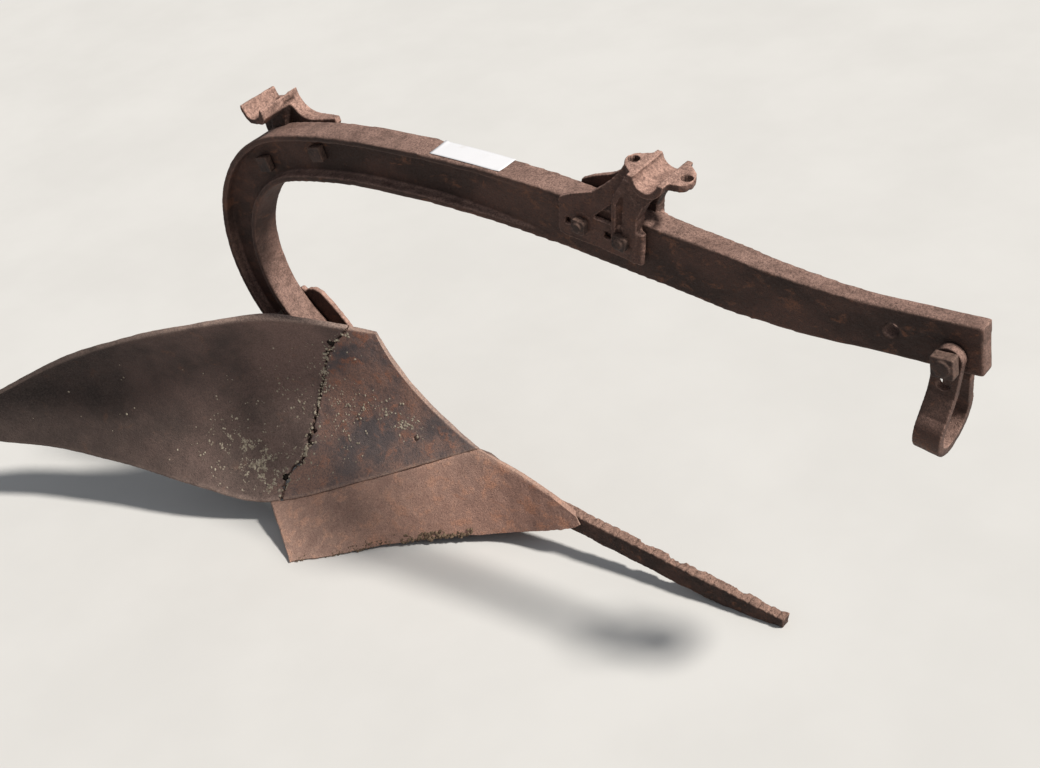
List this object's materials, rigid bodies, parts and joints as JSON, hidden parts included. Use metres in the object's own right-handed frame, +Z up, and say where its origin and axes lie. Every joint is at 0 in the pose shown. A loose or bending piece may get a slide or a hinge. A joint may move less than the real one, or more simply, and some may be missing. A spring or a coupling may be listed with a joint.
{
  "type": "moldboard plough",
  "caption": "Right-hand moldboard plough bottom on a gooseneck beam, with shin, share, landside, bar point, half-round saddles and a hitch clevis.",
  "frame": {"origin": "on the landside sole, below the beam's middle plane, on the ground", "axes": "+X forward along the furrow, +Y towards the landside (left), +Z up"},
  "size_m": [1.3548, 0.3306, 0.5709],
  "materials": {
    "beam_steel": "rusty rolled steel",
    "cast": "rusty cast iron",
    "plate_steel": "rusty pitted plate",
    "share_steel": "redder rusty steel",
    "fasteners": "rusty bolts"
  },
  "bodies": {
    "plough": {"beam": "beam_steel", "frog": "cast", "moldboard": "plate_steel", "shin": "plate_steel", "share": "share_steel", "landside": "plate_steel", "bar_point": "share_steel", "brace": "beam_steel", "rear_saddle": "cast", "rear_saddle_bolts": "fasteners", "mid_saddle": "cast", "mid_saddle_bolts": "fasteners", "frog_bolts": "fasteners", "clevis_bolt": "fasteners"},
    "clevis": {"clevis_strap": "beam_steel"}
  },
  "joints": [
    {"name": "clevis_swing", "type": "hinge", "parent": "plough", "child": "clevis", "pos_m": [0.77593, 0, 0.43464], "axis": [0, 1, 0], "range_deg": [-105, 40]}
  ]
}
